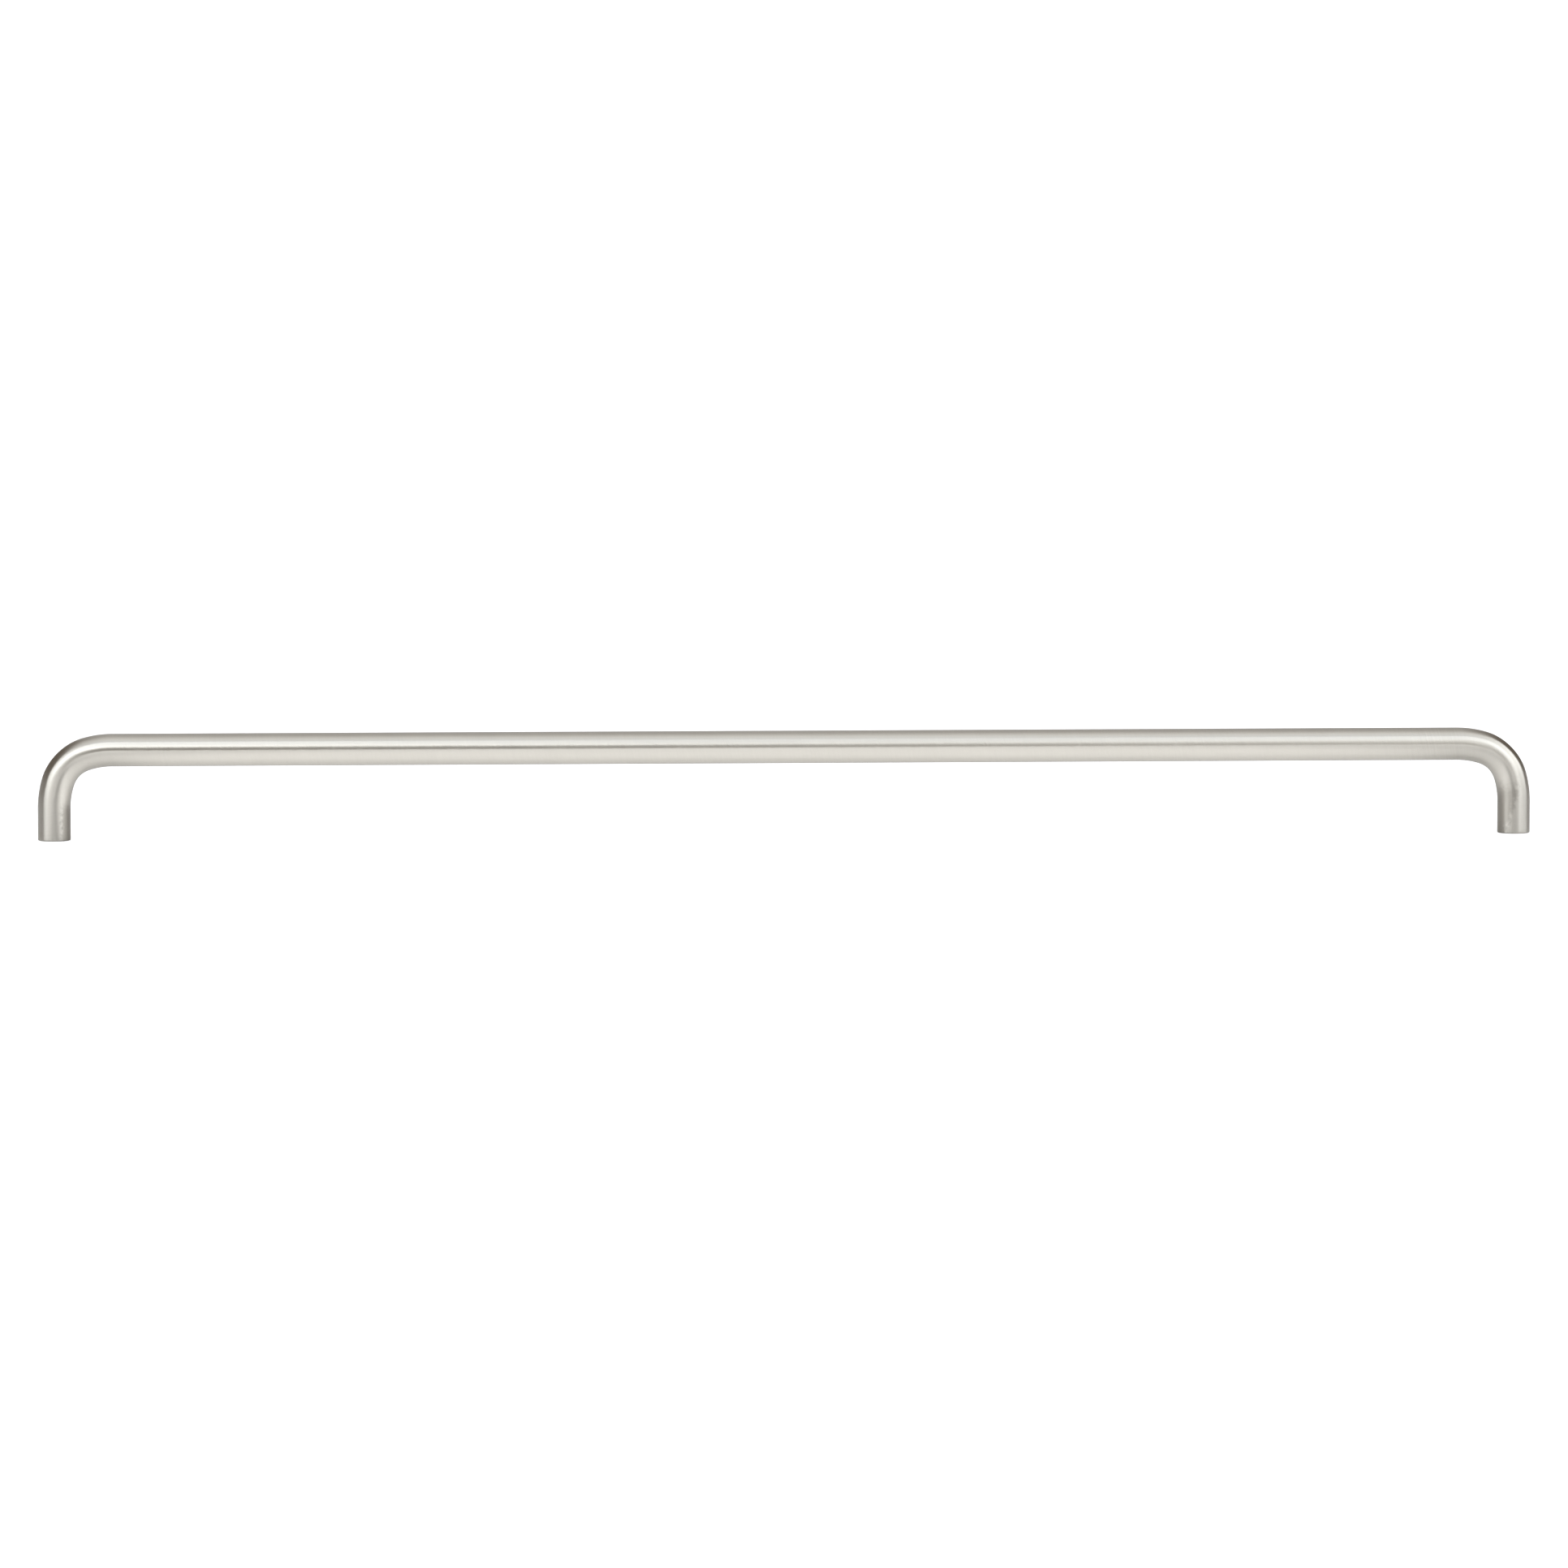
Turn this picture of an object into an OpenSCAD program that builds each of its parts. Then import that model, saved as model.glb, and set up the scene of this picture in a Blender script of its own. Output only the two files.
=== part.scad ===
// Long D-bar cabinet pull: one round bar, bent square at both ends, with a tapped blind hole in each foot.
// The mounting face is z = 0, the grip runs along x, and the origin is midway between the two screw holes.

/* [Bar] */
// Diameter of the round bar
bar_d = 10; // [8:0.5:12]
// Distance between the centres of the two screw holes, on the 32 mm furniture grid
hole_spacing = 448; // [96:32:640]
// Height of the outer side of the grip above the mounting face
projection = 32.5; // [32:0.5:45]

/* [Bends] */
// Centreline radius of the tight middle of each bend, where the bar wrapped round the former
former_r = 13; // [12:0.5:15]
// Centreline radius of the easy shoulder at each end of a bend, where the bar sprang back
shoulder_r = 28; // [20:1:32]

/* [Feet] */
// Radius that breaks the outer edge of each foot
foot_round = 0.4; // [0.2:0.1:0.8]

/* [Screw holes] */
// Core diameter of the tapped hole, 3.3 for an M4 coarse thread
core_d = 3.3; // [2.5:0.1:4.2]
// Diameter of the countersink at the mouth of the hole
countersink_d = 4.4; // [4.3:0.1:5.5]
// Full angle of the countersink
countersink_a = 90; // [60:5:120]
// Depth of the hole at its full core diameter
core_depth = 12; // [8:0.5:16]
// Full angle of the drill point at the end of the hole
drill_point_a = 118; // [90:1:140]

/* [Hidden] */
$fn = 96;
bar_r = bar_d / 2;
core_r = core_d / 2;
hole_x = hole_spacing / 2;
grip_z = projection - bar_r;
countersink_depth = (countersink_d - core_d) / 2 / tan(countersink_a / 2);
drill_point_depth = core_r / tan(drill_point_a / 2);
// How far a cut runs past the face that it starts from
past = 1;
// Rays in [x, z] from the centre of an arc: to the leg, to each change of radius, and to the grip.
// Each shoulder turns the bar to a slope of 7 in 24, which is 16.26 degrees.
leg_ray = [-1, 0];
lower_ray = [-24, 7] / 25;
upper_ray = [-7, 24] / 25;
grip_ray = [0, 1];
// Centres of the three arcs in [x, z], counted from the top of the leg's centreline
lower_centre = -shoulder_r * leg_ray;
middle_centre = lower_centre + (shoulder_r - former_r) * lower_ray;
upper_centre = middle_centre - (shoulder_r - former_r) * upper_ray;
// Where the bend meets the grip's centreline, counted the same way
bend_end = upper_centre + shoulder_r * grip_ray;
leg_h = grip_z - bend_end[1];
grip_l = hole_spacing - 2 * bend_end[0];

// Part of a ring of bar between two rays from its centre
module bar_arc(centre, r, from_ray, to_ray) {
    reach = 2 * (r + bar_d);
    translate([centre[0], 0, centre[1]])
        rotate([90, 0, 0])
            intersection() {
                rotate_extrude()
                    translate([r, 0])
                        circle(bar_r);
                linear_extrude(height = 2 * bar_d, center = true)
                    polygon([[0, 0], reach * from_ray, reach * (from_ray + to_ray), reach * to_ray]);
            }
}

// The whole corner from the top of a leg to the end of the grip
module bend() {
    bar_arc(lower_centre, shoulder_r, leg_ray, lower_ray);
    bar_arc(middle_centre, former_r, lower_ray, upper_ray);
    bar_arc(upper_centre, shoulder_r, upper_ray, grip_ray);
}

// Straight leg with its flat foot on the mounting face and the foot's outer edge rounded over
module leg() {
    rotate_extrude() {
        translate([0, foot_round])
            square([bar_r, leg_h - foot_round]);
        square([bar_r - foot_round, leg_h]);
        translate([bar_r - foot_round, foot_round])
            circle(foot_round);
    }
}

// Everything that the tap drill and the countersink take out of a foot
module screw_hole() {
    translate([0, 0, -past])
        cylinder(r = core_r, h = core_depth + past);
    translate([0, 0, core_depth])
        cylinder(r1 = core_r, r2 = 0, h = drill_point_depth);
    cylinder(r1 = countersink_d / 2, r2 = core_r, h = countersink_depth);
}

// One end of the bar, its leg on the z axis and its grip side towards +x
module bar_end() {
    leg();
    translate([0, 0, leg_h])
        bend();
}

module bar() {
    color([0.86, 0.84, 0.80])
        difference() {
            union() {
                translate([-grip_l / 2, 0, grip_z])
                    rotate([0, 90, 0])
                        cylinder(r = bar_r, h = grip_l);
                translate([-hole_x, 0, 0])
                    bar_end();
                translate([hole_x, 0, 0])
                    mirror([1, 0, 0])
                        bar_end();
            }
            translate([-hole_x, 0, 0])
                screw_hole();
            translate([hole_x, 0, 0])
                screw_hole();
        }
}

bar();
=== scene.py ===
"""Long D-bar cabinet pull in satin stainless bar, seen from the front and a little from above.

The bar is swept along its own centreline: leg, three arcs, grip, three arcs, leg. Lengths are in metres and
angles in radians unless a name or a comment says otherwise. The sweep starts at the left foot.
"""
import math

import bmesh
import bpy
from mathutils import Matrix, Vector


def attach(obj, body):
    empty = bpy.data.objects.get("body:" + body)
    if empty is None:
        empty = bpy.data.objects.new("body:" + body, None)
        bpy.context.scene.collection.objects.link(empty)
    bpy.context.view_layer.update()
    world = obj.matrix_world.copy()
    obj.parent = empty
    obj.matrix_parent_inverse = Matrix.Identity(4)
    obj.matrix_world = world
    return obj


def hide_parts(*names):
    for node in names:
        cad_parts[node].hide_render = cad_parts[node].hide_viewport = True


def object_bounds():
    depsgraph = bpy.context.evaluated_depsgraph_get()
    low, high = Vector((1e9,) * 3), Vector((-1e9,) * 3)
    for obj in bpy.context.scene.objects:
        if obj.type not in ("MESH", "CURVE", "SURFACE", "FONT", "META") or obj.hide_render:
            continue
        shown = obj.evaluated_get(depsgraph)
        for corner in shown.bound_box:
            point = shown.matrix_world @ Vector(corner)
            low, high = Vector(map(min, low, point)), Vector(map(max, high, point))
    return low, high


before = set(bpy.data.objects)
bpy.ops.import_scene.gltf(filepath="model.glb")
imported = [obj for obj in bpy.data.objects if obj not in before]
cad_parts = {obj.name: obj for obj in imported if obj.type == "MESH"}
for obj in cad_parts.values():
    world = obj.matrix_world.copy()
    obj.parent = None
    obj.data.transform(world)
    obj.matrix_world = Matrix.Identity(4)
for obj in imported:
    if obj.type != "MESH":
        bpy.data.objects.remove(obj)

CAD_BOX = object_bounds()
MM = 0.001

# The bar, with the same sizes as the solid
BAR_R = 5 * MM
HOLE_X = 224 * MM
GRIP_Z = 27.5 * MM
FORMER_R = 13 * MM
SHOULDER_R = 28 * MM
SHOULDER_TURN = math.atan2(7, 24)
FORMER_TURN = math.pi / 2 - 2 * SHOULDER_TURN
FOOT_ROUND = 0.4 * MM

# The tapped holes
CORE_R = 1.65 * MM
THREAD_R = 2.0 * MM
THREAD_PITCH = 0.7 * MM
THREAD_END = 10.4 * MM
MOUTH_R = 2.2 * MM
CORE_DEPTH = 12 * MM
DRILL_POINT_DEPTH = 0.99 * MM
# Shares of the pitch that are the flat bottom of the groove and its two flanks
GROOVE_FLAT = 0.25
FLANKS = 0.625

# How far the tight middle of each bend is drawn flat by bending, as a share of the radius
DRAWN_FLAT = 0.02
# The solid's mesh is faceted, so its box is a hair narrower than the bar, and the skin keeps to that width
SECTION_WIDE = min(1.0, CAD_BOX[1][1] / BAR_R)

# Fineness of the mesh: sides round the bar and the hole, and steps along each stretch
SIDES = 96
HOLE_SIDES = SIDES // 2
ROUND_STEPS = 6
LEG_STEPS = 10
SHOULDER_STEPS = 12
FORMER_STEPS = 28
STRIP_STEPS = 40
GRIP_STEPS = 60
ROWS_PER_PITCH = 10

# Places on the square bake map, in millimetres: strips of the bar, and beside them a column for the feet
MAP_SIDE = 136.0
STRIPS = 4
STRIP_GAP = 0.6
COLUMN_GAP = 0.7
LEFT_FOOT_Y = 1.0
RIGHT_FOOT_Y = 30.0
# From a foot's corner on the map to the middle of its face, and to the mouth of its unrolled hole
FACE_MIDDLE = 6.0
HOLE_START = 12.5

# The bar's material slots
SATIN, GROUND, TAPPED = range(3)


# The bar

class Station:
    """A place on the centreline: length run so far, point, heading, and how drawn the section is.

    The heading is the angle from straight up, turning towards the right.
    """

    def __init__(self, run, x, z, heading, drawn=0.0):
        self.run = run
        self.x = x
        self.z = z
        self.heading = heading
        self.drawn = drawn
        self.out_x = -math.cos(heading)
        self.out_z = math.sin(heading)

    def point(self, angle, radius):
        """Point on the section at an angle from the back, turning outwards and over towards the front."""
        flat = radius * math.sin(angle) * (1 - DRAWN_FLAT * self.drawn)
        wide = radius * math.cos(angle) * SECTION_WIDE
        return Vector((self.x + self.out_x * flat, wide, max(0.0, self.z + self.out_z * flat)))

    def lay(self, point):
        """Millimetres along the bar, across it and outwards, which the brushing follows."""
        out = (point.x - self.x) * self.out_x + (point.z - self.z) * self.out_z
        return Vector((self.run / MM, point.y / MM, out / MM))


def bend_reach():
    """Distance from where the straight axes would cross to the start of the bend."""
    s = math.sin(SHOULDER_TURN)
    c = math.cos(SHOULDER_TURN)
    return SHOULDER_R * (s + 1 - c) + FORMER_R * (c - s)


LEG_H = GRIP_Z - bend_reach()
HALF_GRIP = HOLE_X - bend_reach()
BEND_RUN = 2 * SHOULDER_R * SHOULDER_TURN + FORMER_R * FORMER_TURN
TOTAL_RUN = 2 * (LEG_H + BEND_RUN + HALF_GRIP)
STRIP_RUN = TOTAL_RUN / STRIPS


def route():
    """Stretches of the left half: length, turn, whether it is the drawn middle of the bend, and steps."""
    shoulder = (SHOULDER_R * SHOULDER_TURN, SHOULDER_TURN, False, SHOULDER_STEPS)
    strip_end = STRIP_RUN - LEG_H - BEND_RUN
    return [
        (LEG_H - FOOT_ROUND, 0.0, False, LEG_STEPS),
        shoulder,
        (FORMER_R * FORMER_TURN, FORMER_TURN, True, FORMER_STEPS),
        shoulder,
        (strip_end, 0.0, False, STRIP_STEPS),
        (HALF_GRIP - strip_end, 0.0, False, GRIP_STEPS),
    ]


def left_half():
    """Stations from just above the left foot's rounded edge to the middle of the grip."""
    x, z, heading, run = -HOLE_X, FOOT_ROUND, 0.0, FOOT_ROUND
    stations = [Station(run, x, z, heading)]
    for length, turn, drawn, steps in route():
        step = length / steps
        step_turn = turn / steps
        chord = 2 * step / step_turn * math.sin(step_turn / 2) if turn else step
        for i in range(steps):
            x += chord * math.sin(heading + step_turn / 2)
            z += chord * math.cos(heading + step_turn / 2)
            heading += step_turn
            run += step
            share = math.sin(math.pi * (i + 1) / steps) ** 2 if drawn else 0.0
            stations.append(Station(run, x, z, heading, share))
    return stations


def centreline():
    """Stations of the whole bar. The right half is the left one mirrored."""
    left = left_half()
    right = [Station(TOTAL_RUN - s.run, -s.x, s.z, math.pi - s.heading, s.drawn) for s in left[-2::-1]]
    return left + right


def map_uv(x_mm, y_mm):
    return (x_mm / MAP_SIDE, y_mm / MAP_SIDE)


class Builder:
    """Collects faces with their places on the bake map, their lay and their material slot."""

    def __init__(self):
        self.bm = bmesh.new()
        self.uv = self.bm.loops.layers.uv.new("OFBake")
        self.lay = self.bm.verts.layers.float_vector.new("lay")

    def vert(self, point, lay):
        v = self.bm.verts.new(point)
        v[self.lay] = lay
        return v

    def face(self, verts, uvs, slot):
        f = self.bm.faces.new(verts)
        f.smooth = True
        f.material_index = slot
        for loop, uv in zip(f.loops, uvs):
            loop[self.uv].uv = uv

    def ring(self, station, radius=BAR_R):
        points = [station.point(2 * math.pi * k / SIDES, radius) for k in range(SIDES)]
        return [self.vert(p, station.lay(p)) for p in points]


def join_rings(b, lower, upper, run0, run1, strip):
    """One band of the bar's outside between two rings, on its strip of the bake map."""
    girth = 2 * math.pi * BAR_R / MM
    base = strip * (girth + STRIP_GAP)
    x0 = (run0 - strip * STRIP_RUN) / MM
    x1 = (run1 - strip * STRIP_RUN) / MM
    for k in range(SIDES):
        n = (k + 1) % SIDES
        y0 = base + girth * k / SIDES
        y1 = base + girth * (k + 1) / SIDES
        uvs = [map_uv(x0, y0), map_uv(x1, y0), map_uv(x1, y1), map_uv(x0, y1)]
        b.face([lower[k], upper[k], upper[n], lower[n]], uvs, SATIN)


def sweep(b, stations):
    """The outside of the bar, from above one rounded foot edge to above the other. Returns its end rings."""
    rings = [b.ring(s) for s in stations]
    for i in range(len(stations) - 1):
        middle = (stations[i].run + stations[i + 1].run) / 2
        strip = min(int(middle / STRIP_RUN), STRIPS - 1)
        join_rings(b, rings[i], rings[i + 1], stations[i].run, stations[i + 1].run, strip)
    return rings[0], rings[-1]


def foot(b, last, side, corner):
    """Rounded edge, face and tapped hole of one foot, below the last ring. side is -1 for the left foot."""
    x = side * HOLE_X
    heading = 0.0 if side < 0 else math.pi
    run = 0.0 if side < 0 else TOTAL_RUN
    strip = 0 if side < 0 else STRIPS - 1
    last_run = FOOT_ROUND
    for i in range(1, ROUND_STEPS + 1):
        a = math.pi / 2 * i / ROUND_STEPS
        radius = BAR_R - FOOT_ROUND + FOOT_ROUND * math.cos(a)
        z = FOOT_ROUND * (1 - math.sin(a))
        new = b.ring(Station(run, x, z, heading), radius)
        new_run = FOOT_ROUND - FOOT_ROUND * i / ROUND_STEPS
        if side < 0:
            join_rings(b, new, last, new_run, last_run, strip)
        else:
            join_rings(b, last, new, TOTAL_RUN - last_run, TOTAL_RUN - new_run, strip)
        last = new
        last_run = new_run
    base = Station(run, x, 0.0, heading)
    mouth = foot_face(b, last, base, side, corner)
    tapped_hole(b, mouth, base, side, corner)


def foot_face(b, outer, base, side, corner):
    """Flat ground face of the foot. Returns the ring at the mouth of the hole."""
    inner = b.ring(base, MOUTH_R)
    for k in range(SIDES):
        n = (k + 1) % SIDES
        verts = [inner[k], outer[k], outer[n], inner[n]]
        if side > 0:
            verts.reverse()
        b.face(verts, [face_uv(corner, v.co, base) for v in verts], GROUND)
    return inner


def face_uv(corner, point, base):
    x = corner[0] + FACE_MIDDLE + (point.x - base.x) / MM
    y = corner[1] + FACE_MIDDLE + point.y / MM
    return map_uv(x, y)


def thread_radius(angle, depth):
    """Wall of the tapped hole: countersink at the mouth, thread below it, plain core at the end."""
    cone = MOUTH_R - depth
    phase = (depth / THREAD_PITCH - angle / (2 * math.pi)) % 1.0
    crest = min(1.0, max(0.0, (abs(phase - 0.5) * 2 - GROOVE_FLAT) / FLANKS))
    groove = (1 - crest) * (THREAD_R - CORE_R)
    run_out = min(1.0, max(0.0, (THREAD_END - depth) / THREAD_PITCH))
    return max(cone, CORE_R + groove * run_out)


def hole_depths():
    """Depths of the rows of points down the hole's wall."""
    step = THREAD_PITCH / ROWS_PER_PITCH
    rows = int(THREAD_END / step) + 1
    return [i * step for i in range(1, rows + 1)] + [CORE_DEPTH]


def hole_row(b, base, depth):
    """Points round the hole's wall at one depth."""
    row = []
    for k in range(HOLE_SIDES):
        angle = 2 * math.pi * k / HOLE_SIDES
        p = base.point(angle, thread_radius(angle, depth))
        p.z = depth
        row.append(b.vert(p, Vector((depth / MM, p.y / MM, (p.x - base.x) / MM))))
    return row


def wall_face(b, verts, places, side, corner):
    """A face of the hole's wall, with its places as sides round the hole and depth. The right foot is built
    mirrored, so its faces turn the other way."""
    girth = 2 * math.pi * THREAD_R / MM
    mouth_y = corner[1] + HOLE_START
    uvs = [map_uv(corner[0] + girth * k / HOLE_SIDES, mouth_y + depth / MM) for k, depth in places]
    if side > 0:
        verts = verts[::-1]
        uvs.reverse()
    b.face(verts, uvs, TAPPED)


def tapped_hole(b, mouth, base, side, corner):
    """Countersink, thread, core and drill point. Each side of the hole meets two sides of its mouth."""
    depths = hole_depths()
    rows = [hole_row(b, base, depth) for depth in depths]
    for k in range(HOLE_SIDES):
        n = (k + 1) % HOLE_SIDES
        verts = [mouth[2 * k], mouth[2 * k + 1], mouth[2 * n], rows[0][n], rows[0][k]]
        places = [(k, 0), (k + 0.5, 0), (k + 1, 0), (k + 1, depths[0]), (k, depths[0])]
        wall_face(b, verts, places, side, corner)
    for i in range(len(rows) - 1):
        for k in range(HOLE_SIDES):
            n = (k + 1) % HOLE_SIDES
            verts = [rows[i][k], rows[i][n], rows[i + 1][n], rows[i + 1][k]]
            places = [(k, depths[i]), (k + 1, depths[i]), (k + 1, depths[i + 1]), (k, depths[i + 1])]
            wall_face(b, verts, places, side, corner)
    drill_point(b, rows[-1], base, side, corner)


def drill_point(b, row, base, side, corner):
    """Cone that closes the hole below its last row."""
    tip_depth = CORE_DEPTH + DRILL_POINT_DEPTH
    tip = b.vert(Vector((base.x, 0.0, tip_depth)), Vector((tip_depth / MM, 0, 0)))
    for k in range(HOLE_SIDES):
        n = (k + 1) % HOLE_SIDES
        places = [(k, CORE_DEPTH), (k + 1, CORE_DEPTH), (k + 0.5, tip_depth)]
        wall_face(b, [row[k], row[n], tip], places, side, corner)


def mark_sharp(mesh):
    """Sharp normals only where two finishes meet, at the foot's inner edge and the mouth of the hole."""
    owners = {}
    for poly in mesh.polygons:
        for key in poly.edge_keys:
            owners.setdefault(key, set()).add(poly.material_index)
    for edge in mesh.edges:
        edge.use_edge_sharp = len(owners[edge.key]) > 1


def new_object(name, mesh):
    obj = bpy.data.objects.new(name, mesh)
    bpy.context.scene.collection.objects.link(obj)
    return obj


def build_bar():
    b = Builder()
    first, last = sweep(b, centreline())
    column = STRIP_RUN / MM + COLUMN_GAP
    foot(b, first, -1, (column, LEFT_FOOT_Y))
    foot(b, last, 1, (column, RIGHT_FOOT_Y))
    mesh = bpy.data.meshes.new("pull_bar")
    bmesh.ops.recalc_face_normals(b.bm, faces=b.bm.faces)
    b.bm.to_mesh(mesh)
    b.bm.free()
    mark_sharp(mesh)
    return new_object("pull_bar", mesh)


# Nodes

# Values between which most of a noise lies
NOISE_RANGE = (0.25, 0.75)


class Graph:
    """The nodes of one material or world, added by what they work out. Values are numbers or node outputs."""

    def __init__(self, tree):
        self.nodes = tree.nodes
        self.links = tree.links

    def feed(self, socket, given):
        """Sets a socket to a number or colour, or links it to a node's output."""
        if isinstance(given, (int, float, tuple)):
            socket.default_value = given
        else:
            self.links.new(given, socket)

    def math(self, operation, *values):
        node = self.nodes.new("ShaderNodeMath")
        node.operation = operation
        for socket, value in zip(node.inputs, values):
            self.feed(socket, value)
        return node.outputs[0]

    def add(self, a, b):
        return self.math("ADD", a, b)

    def subtract(self, a, b):
        return self.math("SUBTRACT", a, b)

    def multiply(self, a, b):
        return self.math("MULTIPLY", a, b)

    def divide(self, a, b):
        return self.math("DIVIDE", a, b)

    def absolute(self, value):
        return self.math("ABSOLUTE", value)

    def distance(self, value, place):
        return self.absolute(self.subtract(value, place))

    def fade(self, value, start, end):
        """1 up to the start, falling smoothly to 0 at the end. The start may lie above the end."""
        node = self.nodes.new("ShaderNodeMapRange")
        node.interpolation_type = "SMOOTHSTEP"
        self.feed(node.inputs["Value"], value)
        self.feed(node.inputs["From Min"], start)
        self.feed(node.inputs["From Max"], end)
        self.feed(node.inputs["To Min"], 1.0)
        self.feed(node.inputs["To Max"], 0.0)
        return node.outputs["Result"]

    def inside(self, value, low, high, soft):
        """1 between two values, falling smoothly to 0 within a soft edge at each."""
        return self.multiply(self.fade(value, low + soft, low), self.fade(value, high - soft, high))

    def spread(self, noise, low, high):
        """Noise carried to the range between two values, and kept in it."""
        node = self.nodes.new("ShaderNodeMapRange")
        self.feed(node.inputs["Value"], noise)
        self.feed(node.inputs["From Min"], NOISE_RANGE[0])
        self.feed(node.inputs["From Max"], NOISE_RANGE[1])
        self.feed(node.inputs["To Min"], low)
        self.feed(node.inputs["To Max"], high)
        return node.outputs["Result"]

    def blend(self, factor, a, b):
        """Colour a at factor 0 and colour b at factor 1."""
        node = self.nodes.new("ShaderNodeMix")
        node.data_type = "RGBA"
        self.feed(node.inputs["Factor"], factor)
        self.feed(node.inputs["A"], a)
        self.feed(node.inputs["B"], b)
        return node.outputs["Result"]

    def parts(self, vector):
        node = self.nodes.new("ShaderNodeSeparateXYZ")
        self.feed(node.inputs[0], vector)
        return node.outputs["X"], node.outputs["Y"], node.outputs["Z"]

    def place(self):
        """Where the shaded point is in the room."""
        return self.parts(self.nodes.new("ShaderNodeNewGeometry").outputs["Position"])

    def lay(self):
        """Where the shaded point is on the bar, in millimetres along it, across it and outwards."""
        node = self.nodes.new("ShaderNodeAttribute")
        node.attribute_name = "lay"
        return self.parts(node.outputs["Vector"])

    def noise(self, coordinates, detail):
        """Noise at a place given as pairs of a coordinate and its scale."""
        joined = self.nodes.new("ShaderNodeCombineXYZ")
        for socket, (coordinate, scale) in zip(joined.inputs, coordinates):
            self.feed(socket, self.multiply(coordinate, scale))
        node = self.nodes.new("ShaderNodeTexNoise")
        self.feed(node.inputs["Scale"], 1.0)
        self.feed(node.inputs["Detail"], detail)
        self.feed(node.inputs["Vector"], joined.outputs[0])
        return node.outputs["Fac"]

    def bar_noise(self, along, across, detail=3.0, slant=0.0):
        """Noise in cycles per millimetre along and across the bar, leaning by the slant."""
        run, width, out = self.lay()
        leaning_run = self.add(run, self.multiply(out, slant))
        return self.noise(((leaning_run, along), (width, across), (out, across)), detail)

    def foot_noise(self, along, across, detail):
        """Noise on a foot's face, in cycles per millimetre along and across the strokes that ground it."""
        _, width, out = self.lay()
        return self.noise(((out, along), (width, across)), detail)

    def bump(self, height, depth, below=None):
        node = self.nodes.new("ShaderNodeBump")
        self.feed(node.inputs["Strength"], 1.0)
        self.feed(node.inputs["Distance"], depth)
        self.feed(node.inputs["Height"], height)
        if below is not None:
            self.feed(node.inputs["Normal"], below)
        return node.outputs["Normal"]


def new_material(name):
    """A material with its graph and its main shader."""
    mat = bpy.data.materials.new(name)
    mat.use_nodes = True
    return mat, Graph(mat.node_tree), mat.node_tree.nodes["Principled BSDF"]


# Materials

# Run to the middle of the grip, in millimetres
MIDDLE_RUN = TOTAL_RUN / MM / 2

# Satin bar: light and dark streaks, which swing about the middle of two colours
SATIN_DARK = (0.674, 0.645, 0.590, 1.0)
SATIN_LIGHT = (0.728, 0.699, 0.644, 1.0)
STREAK_SWING = 1 / 6
STREAK_NOISE = dict(along=2.2, across=0.12, detail=3.0, slant=0.2)
SATIN_ROUGHNESS = (0.28, 0.305)
ROUGHNESS_NOISE = dict(along=0.12, across=0.08, detail=2.0)

# Brushing marks and how their depth varies. The slanting cross marks are deepest on the grip, and fade to
# their least where the bar bends, by distance from its middle in millimetres.
DEPTH_NOISE = dict(along=0.06, across=0.15, detail=2.0)
DEPTH_RANGE = (0.5, 1.5)
LONG_MARK_DEPTH = 12e-6
LONG_MARK_NOISE = dict(along=1.6, across=0.35, detail=3.0, slant=0.22)
CROSS_MARK_DEPTH = 42e-6
CROSS_MARK_NOISE = dict(along=2.6, across=0.4, detail=1.0, slant=0.6)
CROSS_MARK_LEAST = 0.2
CROSS_MARK_FADE = (HALF_GRIP / MM - 8, HALF_GRIP / MM + 6)

# A short stretch of heavier streaks near the right end: its middle, its half length without and with its
# soft ends, all in millimetres along the bar, and what it adds to the strength of the streaks
HEAVY_PLACE = MIDDLE_RUN + 199
HEAVY_SPAN = (5, 11)
HEAVY_GAIN = 2.0

# Painted shade: a darker colour on each leg from the foot up, on the side towards the other leg, which
# stands in for a dark reflection there. In millimetres: how far outwards it reaches, its top above the foot,
# how ragged both edges are, and where it fades out at the back. The lean moves the edge outwards with each
# millimetre above the foot.
PAINTED_SHADE_LEFT = dict(reach=(-3.0, -1.6), top=(8.0, 13.5), lean=0.0, ragged=0.5, strength=0.9)
PAINTED_SHADE_RIGHT = dict(reach=(-4.2, -2.2), top=(12.0, 18.0), lean=0.3, ragged=1.0, strength=0.7)
PAINTED_SHADE_BACK = (0.5, 4.5)
PAINTED_SHADE_COLOR = (0.41, 0.385, 0.345, 1.0)
RAGGED_NOISE = dict(along=0.9, across=0.9)

# Ground faces of the feet
GROUND_DARK = (0.58, 0.56, 0.52, 1.0)
GROUND_LIGHT = (0.72, 0.70, 0.66, 1.0)
GROUND_ROUGHNESS = 0.34
GROUND_STREAK_NOISE = dict(along=0.12, across=3.0, detail=3.0)
GROUND_MARK_NOISE = dict(along=0.15, across=4.0, detail=2.0)
GROUND_MARK_DEPTH = 12e-6

# Walls of the tapped holes
TAPPED_DARK = (0.46, 0.44, 0.41, 1.0)
TAPPED_LIGHT = (0.62, 0.60, 0.56, 1.0)
TAPPED_ROUGHNESS = 0.28
TAPPED_NOISE = dict(along=1.2, across=1.2)


def painted_leg_shade(g, reach, top, lean, ragged, strength):
    """Share of the painted shade on one leg."""
    run, width, out = g.lay()
    above = g.subtract(MIDDLE_RUN, g.distance(run, MIDDLE_RUN))
    wander = g.spread(g.bar_noise(**RAGGED_NOISE), -ragged, ragged)
    edge = g.subtract(out, g.multiply(above, lean))
    inner = g.fade(g.add(edge, wander), *reach)
    low = g.fade(g.add(above, wander), *top)
    front = g.multiply(g.fade(width, *PAINTED_SHADE_BACK), strength)
    return g.multiply(g.multiply(inner, low), front)


# Painted shade on the side of each leg towards the other leg, standing in for a dark reflection
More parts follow.
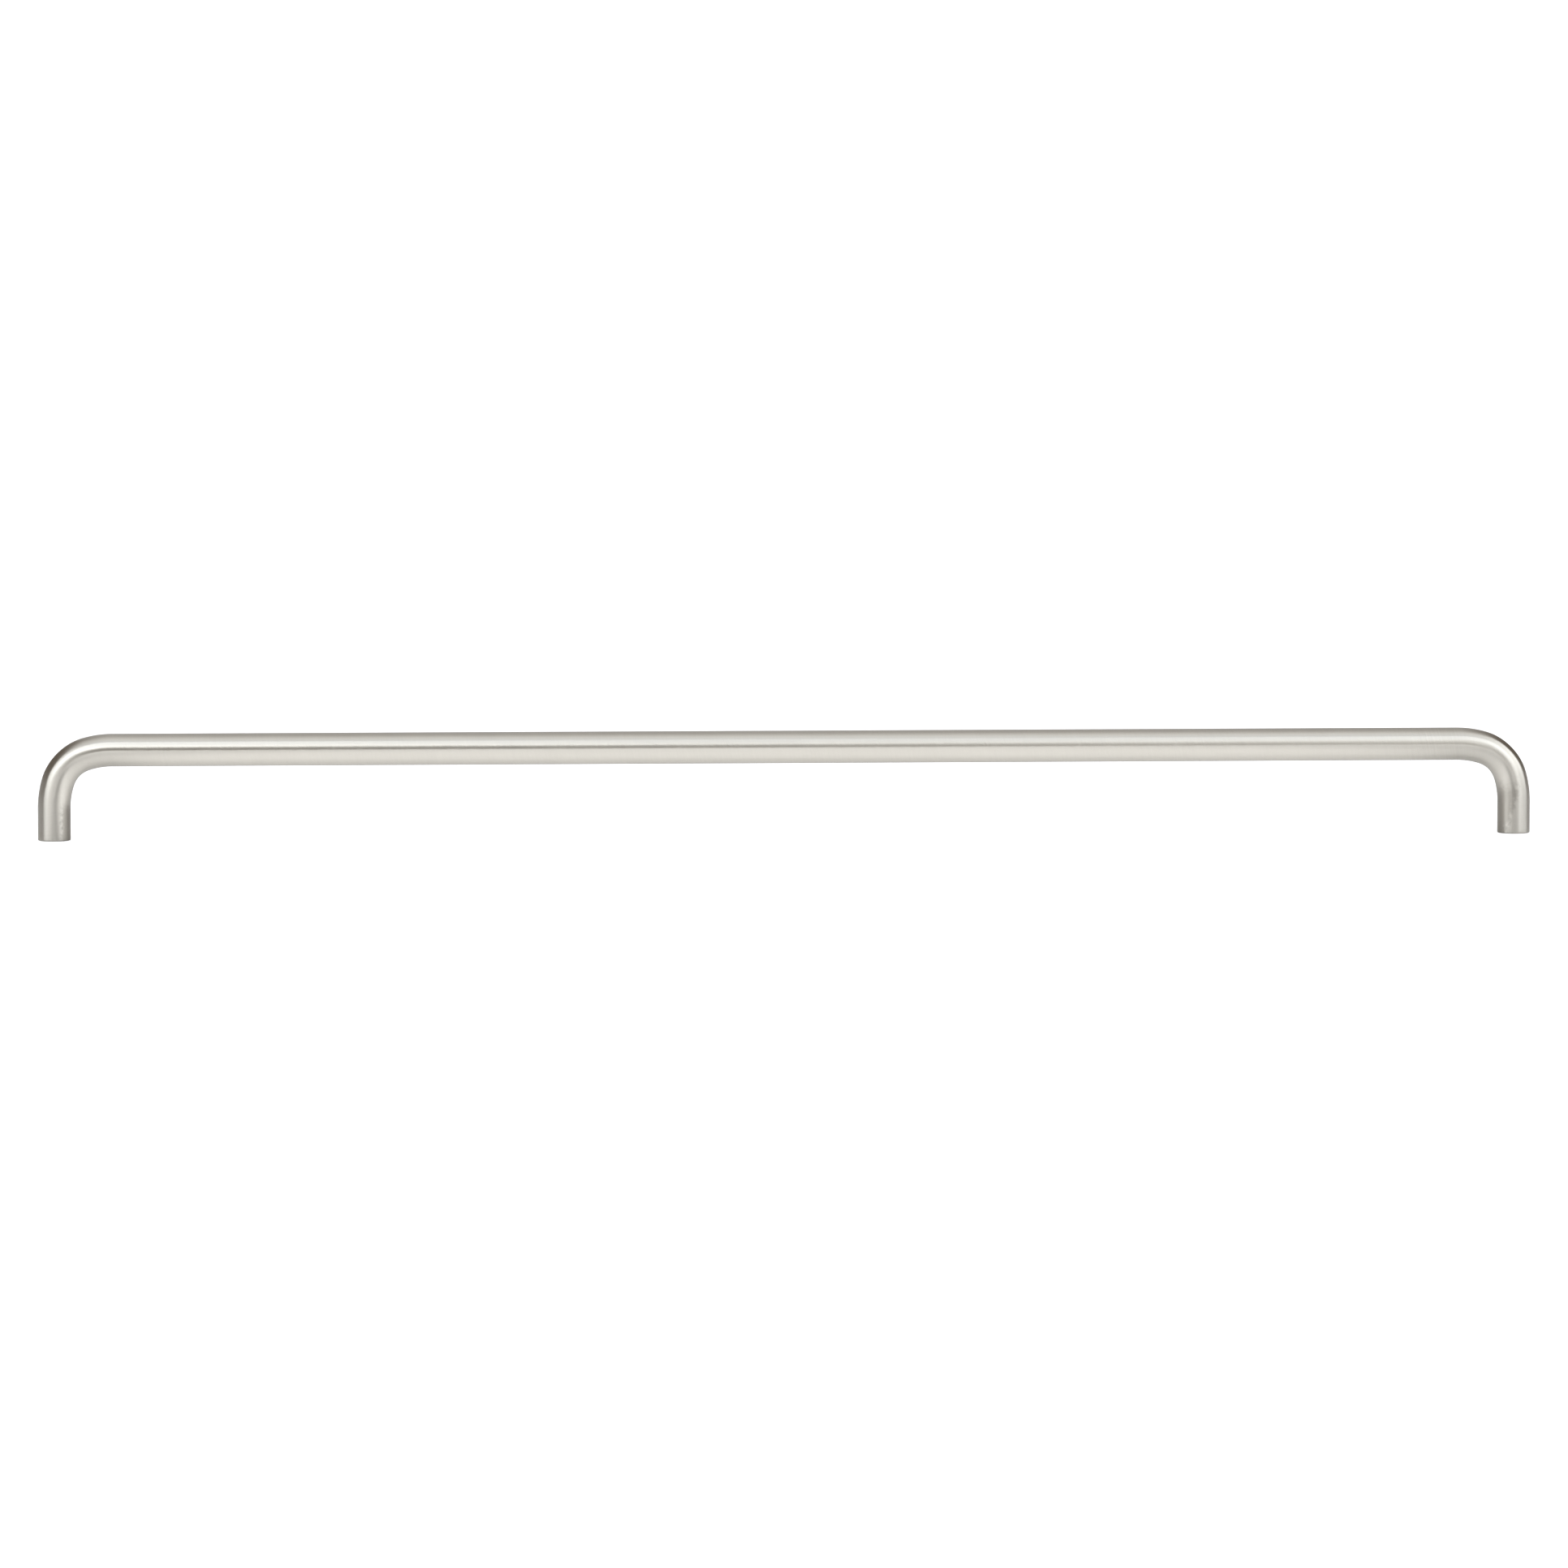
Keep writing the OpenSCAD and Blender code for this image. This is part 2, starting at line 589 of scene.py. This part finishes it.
def painted_legs_shade(g):
    run, _, _ = g.lay()
    on_left = g.fade(run, MIDDLE_RUN - 1, MIDDLE_RUN + 1)
    on_right = g.subtract(1.0, on_left)
    left = g.multiply(painted_leg_shade(g, **PAINTED_SHADE_LEFT), on_left)
    right = g.multiply(painted_leg_shade(g, **PAINTED_SHADE_RIGHT), on_right)
    return g.add(left, right)


def satin_color(g):
    """Light and dark streaks, with the painted shade on the legs over them."""
    run, _, _ = g.lay()
    heavy = g.fade(g.distance(run, HEAVY_PLACE), *HEAVY_SPAN)
    gain = g.add(g.multiply(heavy, HEAVY_GAIN), 1.0)
    swing = g.spread(g.bar_noise(**STREAK_NOISE), -STREAK_SWING, STREAK_SWING)
    tone = g.add(g.multiply(swing, gain), 0.5)
    return g.blend(painted_legs_shade(g), g.blend(tone, SATIN_DARK, SATIN_LIGHT), PAINTED_SHADE_COLOR)


def marks(g, noise, depth):
    """Noise about zero times its depth, so that a change of depth doesn't tilt the surface."""
    return g.multiply(g.subtract(noise, 0.5), depth)


def satin_marks(g):
    """Normals of the brushed surface, with cross marks over long ones."""
    run, _, _ = g.lay()
    depth = g.spread(g.bar_noise(**DEPTH_NOISE), *DEPTH_RANGE)
    on_grip = g.fade(g.distance(run, MIDDLE_RUN), *CROSS_MARK_FADE)
    share = g.add(g.multiply(on_grip, 1.0 - CROSS_MARK_LEAST), CROSS_MARK_LEAST)
    long_marks = marks(g, g.bar_noise(**LONG_MARK_NOISE), depth)
    cross_marks = marks(g, g.bar_noise(**CROSS_MARK_NOISE), g.multiply(depth, share))
    return g.bump(cross_marks, CROSS_MARK_DEPTH, g.bump(long_marks, LONG_MARK_DEPTH))


def satin_steel():
    """Stainless bar linished across its length: highlights spread along the bar and stay crisp across it."""
    mat, g, shader = new_material("satin_stainless")
    shader.inputs["Metallic"].default_value = 1.0
    shader.inputs["Anisotropic"].default_value = 1.0
    tangent = g.nodes.new("ShaderNodeTangent")
    tangent.direction_type = "UV_MAP"
    tangent.uv_map = "OFBake"
    g.feed(shader.inputs["Tangent"], tangent.outputs[0])
    g.feed(shader.inputs["Base Color"], satin_color(g))
    g.feed(shader.inputs["Roughness"], g.spread(g.bar_noise(**ROUGHNESS_NOISE), *SATIN_ROUGHNESS))
    g.feed(shader.inputs["Normal"], satin_marks(g))
    return mat


def ground_steel():
    """Face of the foot, ground flat after the bar was cut."""
    mat, g, shader = new_material("ground_stainless")
    shader.inputs["Metallic"].default_value = 1.0
    shader.inputs["Roughness"].default_value = GROUND_ROUGHNESS
    tone = g.spread(g.foot_noise(**GROUND_STREAK_NOISE), 0.0, 1.0)
    g.feed(shader.inputs["Base Color"], g.blend(tone, GROUND_DARK, GROUND_LIGHT))
    g.feed(shader.inputs["Normal"], g.bump(g.foot_noise(**GROUND_MARK_NOISE), GROUND_MARK_DEPTH))
    return mat


def tapped_steel():
    """Wall of the tapped hole, cut bright, with slight blotches."""
    mat, g, shader = new_material("tapped_stainless")
    shader.inputs["Metallic"].default_value = 1.0
    shader.inputs["Roughness"].default_value = TAPPED_ROUGHNESS
    g.feed(shader.inputs["Base Color"], g.blend(g.bar_noise(**TAPPED_NOISE), TAPPED_DARK, TAPPED_LIGHT))
    return mat


# Floor

# Radius of the floor, how far it lies below the feet, and the low wall at its rim
FLOOR_REACH = 8.0
FLOOR_DROP = 0.05 * MM
RIM_H = 0.5
RIM_SIDES = 96
FLOOR_COLOR = (0.72, 0.72, 0.72, 1.0)
WHITE = (1.0, 1.0, 1.0, 1.0)
# Glow of the floor for the camera, and in reflections inside the painted pool of light
CAMERA_GLOW = 0.75
POOL_GLOW = 0.585
# The painted pool of light fades out between these two places, from just in front of the bar to behind it.
# Its end comes nearer by the slope for each metre beyond the legs, and by the cut at the legs, which starts
# at POOL_END and is painted shade round the legs.
POOL_Y = (-0.03, 0.07)
POOL_SLOPE = 0.5
POOL_END = 190 * MM
POOL_END_CUT = 45 * MM
# Painted shade: a dim streak in front of each leg. How it widens with each metre from the bar, its least and
# most half width, its edge as a share of that, its brightness, and how much the left one leans
STREAK_SPREAD = 0.2
STREAK_LEAST = 6 * MM
STREAK_MOST = 20 * MM
STREAK_EDGE = (0.6, 1.6)
STREAK_LEVEL = 0.15
STREAK_LEAN = 0.11
# Where the pool is dimmer at the right, and its brightness there
RIGHT_END = (0.24, 0.14)
RIGHT_LEVEL = 0.75
# Soft change from the left half to the right half, by x on the floor and by direction in the sky
LEFT_HALF = (-0.01, 0.01)


def light_pool(g):
    """Share of the white that reflections see at each place of the floor: a painted pool of light."""
    x, y, _ = g.place()
    from_leg = g.subtract(g.absolute(x), HOLE_X)
    beyond = g.multiply(g.math("MAXIMUM", from_leg, 0.0), POOL_SLOPE)
    # Painted shade round the legs: the pool of light ends nearer to the bar there
    leg_shade = g.multiply(g.fade(g.absolute(x), HOLE_X, POOL_END), POOL_END_CUT)
    back = g.add(g.add(y, beyond), leg_shade)
    # Painted shade: a dim streak in front of each leg
    wider = g.math("MAXIMUM", g.multiply(y, -STREAK_SPREAD), STREAK_LEAST)
    width = g.math("MINIMUM", wider, STREAK_MOST)
    lean = g.multiply(g.fade(x, *LEFT_HALF), -STREAK_LEAN)
    off = g.divide(g.absolute(g.add(from_leg, g.multiply(y, lean))), width)
    shade_streak = g.multiply(g.fade(off, *STREAK_EDGE), 1.0 - STREAK_LEVEL)
    right = g.multiply(g.fade(x, *RIGHT_END), 1.0 - RIGHT_LEVEL)
    lit = g.multiply(g.fade(back, *POOL_Y), g.subtract(1.0, shade_streak))
    return g.multiply(lit, g.subtract(1.0, right))


def floor_material():
    """Pale matt surface that glows white for camera rays, and in its painted pool of light for glossy
    and transmission rays."""
    mat, g, shader = new_material("floor_white")
    shader.inputs["Base Color"].default_value = FLOOR_COLOR
    shader.inputs["Roughness"].default_value = 1.0
    shader.inputs["Specular IOR Level"].default_value = 0.0
    shader.inputs["Emission Color"].default_value = WHITE
    rays = g.nodes.new("ShaderNodeLightPath").outputs
    reflected = g.math("MAXIMUM", rays["Is Glossy Ray"], rays["Is Transmission Ray"])
    glow = g.multiply(g.multiply(reflected, light_pool(g)), POOL_GLOW)
    white = g.multiply(rays["Is Camera Ray"], CAMERA_GLOW)
    g.feed(shader.inputs["Emission Strength"], g.add(glow, white))
    return mat


def floor_and_rim():
    """Round pale floor with a low wall at its rim, which closes the view at the horizon from every side."""
    bm = bmesh.new()
    centre = bm.verts.new((0, 0, -FLOOR_DROP))
    rim = []
    top = []
    for k in range(RIM_SIDES):
        a = 2 * math.pi * k / RIM_SIDES
        x = FLOOR_REACH * math.cos(a)
        y = FLOOR_REACH * math.sin(a)
        rim.append(bm.verts.new((x, y, -FLOOR_DROP)))
        top.append(bm.verts.new((x, y, RIM_H)))
    for k in range(RIM_SIDES):
        n = (k + 1) % RIM_SIDES
        bm.faces.new((centre, rim[k], rim[n]))
        bm.faces.new((rim[k], top[k], top[n], rim[n]))
    mesh = bpy.data.meshes.new("floor")
    bm.to_mesh(mesh)
    bm.free()
    mesh.materials.append(floor_material())
    obj = new_object("floor", mesh)


# Light sheets

# Upright sheets in front of the bar that only reflections see: a grey filter over the dim gap, a fainter one
# before the middle, and extra light at each end of the softbox. Each has its place in y, its span and the
# softness of its sides in x and z, and its colour.
SHEETS = {
    "gap_filter": dict(
        glows=False, y=-0.35, span_x=(-0.75, 0.20), span_z=(0.030, 0.165), soft=(0.30, 0.008),
        color=(0.33, 0.31, 0.285, 1.0)),
    "middle_filter": dict(
        glows=False, y=-0.34, span_x=(-0.17, 0.16), span_z=(0.055, 0.26), soft=(0.10, 0.08),
        color=(0.62, 0.615, 0.605, 1.0)),
    "left_glow": dict(
        glows=True, y=-0.35, span_x=(-0.80, 0.0), span_z=(0.180, 0.70), soft=(0.25, 0.015),
        color=(0.92, 0.965, 1.0, 1.0)),
    "right_glow": dict(
        glows=True, y=-0.35, span_x=(0.12, 0.80), span_z=(0.235, 0.70), soft=(0.20, 0.06),
        color=(0.78, 0.815, 0.85, 1.0)),
}


def sheet(name, glows, y, span_x, span_z, soft, color):
    """Adds one sheet, which the camera and the floor don't see."""
    x0, x1 = span_x
    z0, z1 = span_z
    mesh = bpy.data.meshes.new(name)
    mesh.from_pydata([(x0, y, z0), (x1, y, z0), (x1, y, z1), (x0, y, z1)], [], [(0, 1, 2, 3)])
    mesh.materials.append(sheet_material(name, glows, span_x, span_z, soft, color))
    obj = new_object(name, mesh)
    obj.visible_camera = False
    obj.visible_diffuse = False
    obj.visible_transmission = False
    obj.visible_shadow = False


def sheet_material(name, glows, span_x, span_z, soft, color):
    """Clear at the sides. Towards the middle it glows in its colour or filters by it."""
    mat, g, shader = new_material(name)
    g.nodes.remove(shader)
    surface = g.nodes["Material Output"].inputs["Surface"]
    x, _, z = g.place()
    strength = g.multiply(g.inside(x, *span_x, soft[0]), g.inside(z, *span_z, soft[1]))
    clear = g.nodes.new("ShaderNodeBsdfTransparent")
    if glows:
        light = g.nodes.new("ShaderNodeEmission")
        g.feed(light.inputs["Color"], color)
        g.feed(light.inputs["Strength"], strength)
        joined = g.nodes.new("ShaderNodeAddShader")
        g.feed(joined.inputs[0], clear.outputs[0])
        g.feed(joined.inputs[1], light.outputs[0])
        g.feed(surface, joined.outputs[0])
    else:
        g.feed(clear.inputs["Color"], g.blend(strength, WHITE, color))
        g.feed(surface, clear.outputs[0])
    return mat


# Sky

# Colours of the sky are linear, and are written at half their level
WORLD_STRENGTH = 2.0
# Lit middle of the sky by height over the front horizon, in degrees: a dim gap, a long softbox that is
# brightest near the zenith, and a fading ceiling behind
SKY = [
    (0, (0.28, 0.274, 0.263)),
    (14, (0.27, 0.265, 0.255)),
    (21, (0.31, 0.305, 0.295)),
    (30, (0.36, 0.356, 0.352)),
    (37, (0.335, 0.344, 0.352)),
    (43, (0.31, 0.318, 0.326)),
    (54, (0.385, 0.398, 0.415)),
    (70, (0.48, 0.493, 0.507)),
    (84, (0.50, 0.505, 0.505)),
    (100, (0.44, 0.44, 0.435)),
    (118, (0.355, 0.352, 0.348)),
    (150, (0.25, 0.247, 0.243)),
    (180, (0.23, 0.227, 0.223)),
]
# Half width of the lit sky at the zenith, how it grows towards the front, its least value, and its soft
# edge as a share of it
SKY_WIDTH = 0.5
SKY_WIDTH_GROWTH = 0.5
SKY_WIDTH_LEAST = 0.25
SKY_EDGE = (0.8, 1.2)
# The dark sides of the room, and the two upright softboxes at the front corners
SIDE_COLOR = (0.070, 0.058, 0.046, 1.0)
CORNER_COLOR = (0.92, 0.945, 0.96, 1.0)
# Soft edges of the corner softboxes: angles from the front, and how far nearer to the front the left box is
BOX_INNER = (math.radians(36), math.radians(20))
BOX_OUTER = (math.radians(92), math.radians(112))
BOX_LEFT_INNER_SHIFT = math.radians(6)
BOX_LEFT_OUTER_SHIFT = math.radians(24)
# Heights of the boxes' edges as parts of the direction, how much higher the right box starts, and how
# much the upper edge rises with each radian past the inner edge
BOX_LOW = (0.20, -0.25)
BOX_HIGH = (0.46, 0.58)
BOX_RIGHT_LIFT = 0.12
BOX_RISE = 0.3


def sky_ramp(g, height, front):
    """Colour of the lit middle of the sky."""
    angle = g.math("ARCTAN2", height, front)
    ramp = g.nodes.new("ShaderNodeValToRGB")
    g.feed(ramp.inputs[0], g.divide(angle, math.pi))
    stops = ramp.color_ramp.elements
    stops[1].position = 1.0
    for degrees, _ in SKY[1:-1]:
        stops.new(degrees / 180)
    for stop, (_, color) in zip(stops, SKY):
        stop.color = (*color, 1.0)
    return ramp.outputs["Color"]


def sky_middle(g, front, side):
    """1 in the lit middle of the sky and 0 at its dark sides. The lit part narrows towards the back."""
    width = g.add(g.multiply(front, SKY_WIDTH_GROWTH), SKY_WIDTH)
    width = g.math("MAXIMUM", width, SKY_WIDTH_LEAST)
    return g.fade(g.divide(side, width), *SKY_EDGE)


def corner_boxes(g, height, front, side, left):
    """1 in the upright softboxes, to the left and the right of the camera."""
    angle = g.math("ARCTAN2", side, front)
    inner = g.fade(g.add(angle, g.multiply(left, BOX_LEFT_INNER_SHIFT)), *BOX_INNER)
    outer = g.fade(g.add(angle, g.multiply(left, BOX_LEFT_OUTER_SHIFT)), *BOX_OUTER)
    rise = g.multiply(g.subtract(angle, BOX_INNER[0]), BOX_RISE)
    lift = g.multiply(g.subtract(1.0, left), BOX_RIGHT_LIFT)
    high = g.fade(g.subtract(height, rise), *BOX_HIGH)
    low = g.fade(g.subtract(height, lift), *BOX_LOW)
    return g.multiply(g.multiply(inner, outer), g.multiply(low, high))


def studio_world():
    world = bpy.data.worlds.new("studio")
    bpy.context.scene.world = world
    world.use_nodes = True
    g = Graph(world.node_tree)
    x, y, height = g.parts(g.nodes.new("ShaderNodeTexCoord").outputs["Generated"])
    front = g.multiply(y, -1.0)
    side = g.absolute(x)
    left = g.fade(x, *LEFT_HALF)
    sky = g.blend(sky_middle(g, front, side), SIDE_COLOR, sky_ramp(g, height, front))
    lit = g.blend(corner_boxes(g, height, front, side, left), sky, CORNER_COLOR)
    background = g.nodes["Background"]
    g.feed(background.inputs["Color"], lit)
    g.feed(background.inputs["Strength"], WORLD_STRENGTH)


# Camera

# The left end is a little nearer to the camera than the right one
CAMERA_DISTANCE = 2.5
CAMERA_UP = math.radians(5.0)
CAMERA_LEFT = math.radians(3.31)
CAMERA_REACH = 50.0
SENSOR_MM = 36.0
# Width of the frame in pixels of the photograph, and how many of them a millimetre takes
PHOTO_PX = 1932
PX_PER_MM = 4.0214
AIM = Vector((-1.12 * MM, 0.0, 16.09 * MM))


def camera():
    across = -math.sin(CAMERA_LEFT) * math.cos(CAMERA_UP)
    towards = -math.cos(CAMERA_LEFT) * math.cos(CAMERA_UP)
    away = Vector((across, towards, math.sin(CAMERA_UP)))
    data = bpy.data.cameras.new("camera")
    data.sensor_width = SENSOR_MM
    data.lens = SENSOR_MM * CAMERA_DISTANCE / (PHOTO_PX / PX_PER_MM * MM)
    data.clip_end = CAMERA_REACH
    obj = new_object("camera", data)
    look = (-away).to_track_quat("-Z", "Y").to_matrix().to_4x4()
    obj.matrix_world = Matrix.Translation(AIM + away * CAMERA_DISTANCE) @ look
    bpy.context.scene.camera = obj


def main():
    camera()
    piece = build_bar()
    for mat in (satin_steel(), ground_steel(), tapped_steel()):
        piece.data.materials.append(mat)
    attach(piece, "root")
    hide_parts("bar")
    floor_and_rim()
    for name, values in SHEETS.items():
        sheet(name, **values)
    studio_world()
    bpy.context.scene.view_settings.view_transform = "Standard"


main()
